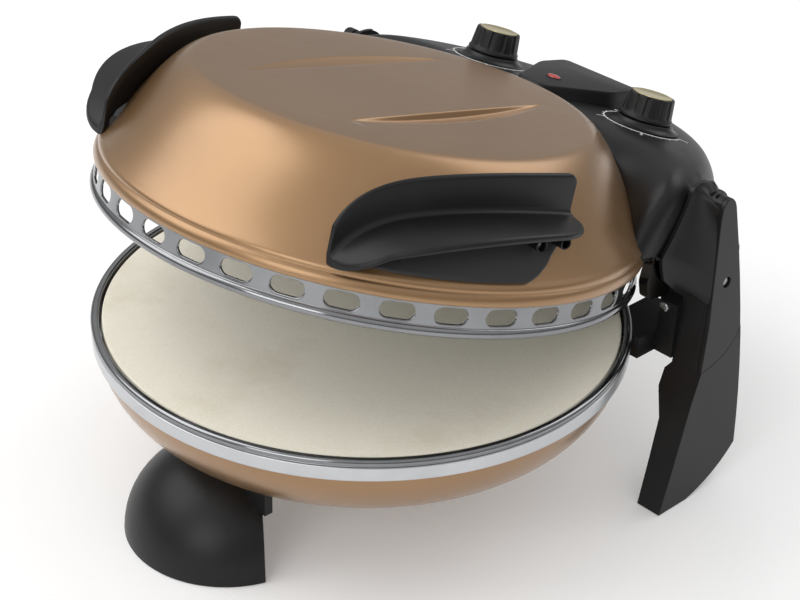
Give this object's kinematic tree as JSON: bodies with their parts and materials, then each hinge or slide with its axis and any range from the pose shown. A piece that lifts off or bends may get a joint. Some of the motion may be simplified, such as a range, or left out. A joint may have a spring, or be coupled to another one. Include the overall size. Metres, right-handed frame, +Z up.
{
  "type": "electric pizza maker",
  "caption": "Countertop pizza oven: a domed lid on a floating rear hinge closes over a round baking stone in a bowl on three legs, with two control knobs.",
  "frame": {"origin": "on the table, under the middle of the bounding box; the axis of the baking stone is 33.3 mm in front of it", "axes": "+Z up, front towards -Y, the thermostat knob on the +X side"},
  "size_m": [0.332, 0.3986, 0.2721],
  "materials": {
    "copper_paint": "metallic gloss",
    "polished_steel": "polished",
    "bright_steel": "satin",
    "element_sheath": "matt oxidised",
    "stone": "matt fired clay",
    "black_plastic": "satin",
    "pad_rubber": "matt",
    "gold_disc": "satin anodised",
    "red_lens": "glossy",
    "pale_plastic": "matt"
  },
  "bodies": {
    "base": {"base_bowl": "copper_paint", "base_rim": "polished_steel", "base_liner": "bright_steel", "lower_element": "element_sheath", "lower_element_clips": "bright_steel", "baking_stone": "stone", "front_foot": "black_plastic", "front_foot_screws": "bright_steel", "foot_pads": "pad_rubber", "rear_leg_left": "black_plastic", "rear_leg_right": "black_plastic", "leg_cover_left": "black_plastic", "leg_cover_right": "black_plastic", "leg_cover_screws": "bright_steel", "hinge_bracket_left": "black_plastic", "hinge_bracket_right": "black_plastic", "bracket_screws": "bright_steel"},
    "hinge_slider": {"hinge_shaft": "bright_steel", "shaft_clips": "bright_steel"},
    "lid": {"lid_dome": "copper_paint", "vent_ring": "polished_steel", "lid_reflector": "bright_steel", "upper_element": "element_sheath", "upper_element_clips": "bright_steel", "handle_left": "black_plastic", "handle_right": "black_plastic", "handle_screws": "bright_steel", "control_housing": "black_plastic", "housing_base": "black_plastic", "housing_screws": "bright_steel", "hinge_arm_left": "bright_steel", "hinge_arm_right": "bright_steel", "control_bridge": "black_plastic", "indicator_lamp": "red_lens", "thermostat_dial": "black_plastic", "timer_dial": "black_plastic", "thermostat": "bright_steel", "timer": "bright_steel", "terminal_block": "pale_plastic", "cord_gland": "black_plastic"},
    "thermostat_knob_body": {"thermostat_knob": "black_plastic", "thermostat_knob_cap": "gold_disc"},
    "timer_knob_body": {"timer_knob": "black_plastic", "timer_knob_cap": "gold_disc"}
  },
  "joints": [
    {"name": "lid_float", "type": "slide", "parent": "base", "child": "hinge_slider", "axis": [0, 0, 1], "range_m": [-0.016, 0.002]},
    {"name": "lid_tilt", "type": "hinge", "parent": "hinge_slider", "child": "lid", "pos_m": [0, 0.1337, 0.1446], "axis": [-1, 0, 0], "range_deg": [-13, 77]},
    {"name": "thermostat_turn", "type": "hinge", "parent": "lid", "child": "thermostat_knob_body", "pos_m": [0.0645, 0.13571, 0.20223], "axis": [0, 0.3074, 0.9516], "range_deg": [-10, 270]},
    {"name": "timer_turn", "type": "hinge", "parent": "lid", "child": "timer_knob_body", "pos_m": [-0.0645, 0.13571, 0.20223], "axis": [0, 0.3074, 0.9516], "range_deg": [-10, 300]}
  ]
}
